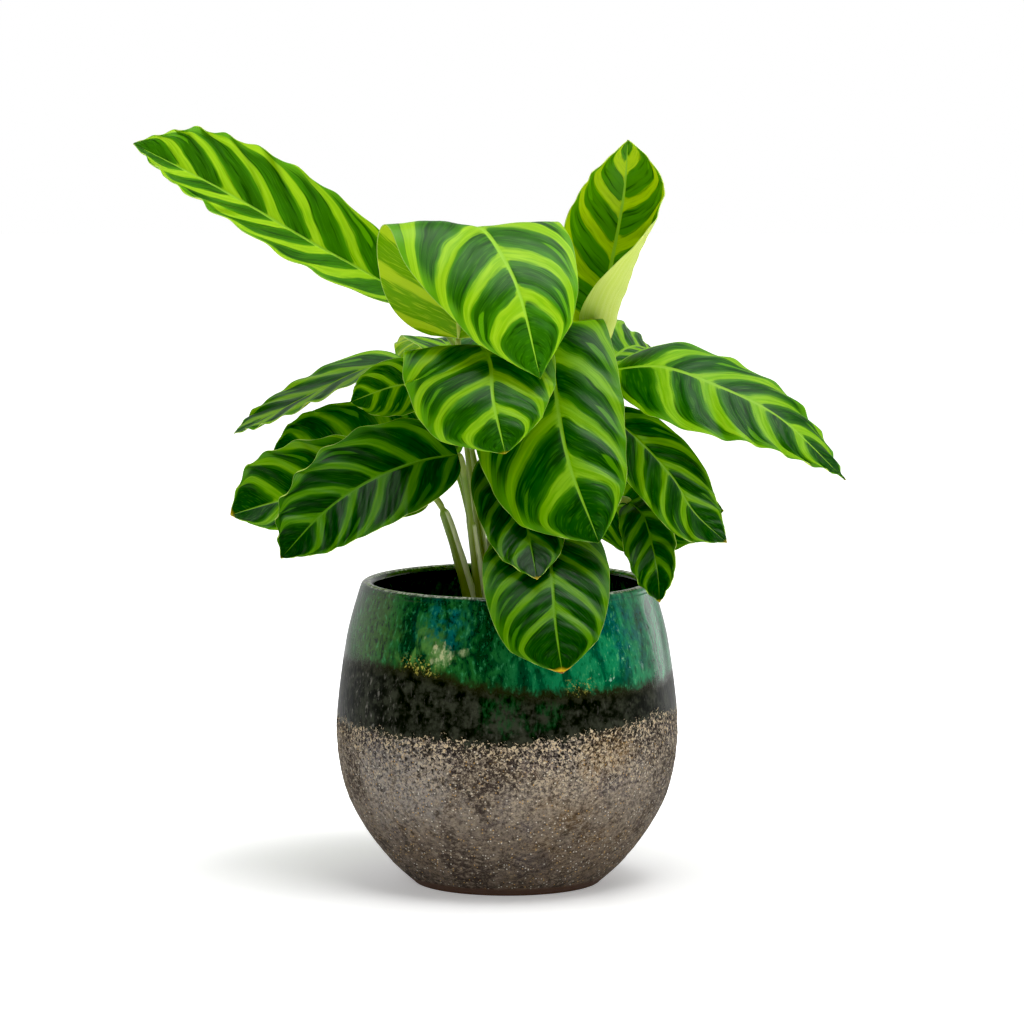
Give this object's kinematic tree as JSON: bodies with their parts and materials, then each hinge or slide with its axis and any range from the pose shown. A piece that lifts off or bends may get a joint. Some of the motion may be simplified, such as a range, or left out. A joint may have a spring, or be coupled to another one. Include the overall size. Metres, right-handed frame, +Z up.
{
  "type": "potted calathea",
  "caption": "Leafy house plant with broad zebra-striped blades on slender stalks, standing in soil in a round stoneware pot with a glazed upper half and a rough lower half.",
  "frame": {"origin": "centre of the pot's flat foot, on the surface the pot stands on", "axes": "+Z up along the pot's axis, -Y towards the side seen in the picture, +X to that side's right"},
  "size_m": [0.431, 0.2678, 0.4664],
  "materials": {
    "glaze": "gloss",
    "soil": "matte",
    "stalk": "satin",
    "leaf": "satin"
  },
  "bodies": {
    "root": {"pot": "glaze", "soil": "soil", "stalk_high_left": "stalk", "blade_high_left": "leaf", "stalk_top_middle": "stalk", "blade_top_middle": "leaf", "stalk_rolled": "stalk", "blade_rolled": "leaf", "stalk_middle_left": "stalk", "blade_middle_left": "leaf", "stalk_middle_front": "stalk", "blade_middle_front": "leaf", "stalk_under_front": "stalk", "blade_under_front": "leaf", "stalk_over_rim": "stalk", "blade_over_rim": "leaf", "stalk_low_left": "stalk", "blade_low_left": "leaf", "stalk_low_left_back": "stalk", "blade_low_left_back": "leaf", "stalk_mid_left": "stalk", "blade_mid_left": "leaf", "stalk_short_left": "stalk", "blade_short_left": "leaf", "stalk_far_left": "stalk", "blade_far_left": "leaf", "stalk_back_left": "stalk", "blade_back_left": "leaf", "stalk_right": "stalk", "blade_right": "leaf", "stalk_back_right": "stalk", "blade_back_right": "leaf", "stalk_mid_right": "stalk", "blade_mid_right": "leaf", "stalk_low_right": "stalk", "blade_low_right": "leaf", "stalk_low_right_back": "stalk", "blade_low_right_back": "leaf", "stalk_rear_middle": "stalk", "blade_rear_middle": "leaf", "stalk_rear_low": "stalk", "blade_rear_low": "leaf", "stalk_rear_left": "stalk", "blade_rear_left": "leaf"}
  },
  "joints": []
}
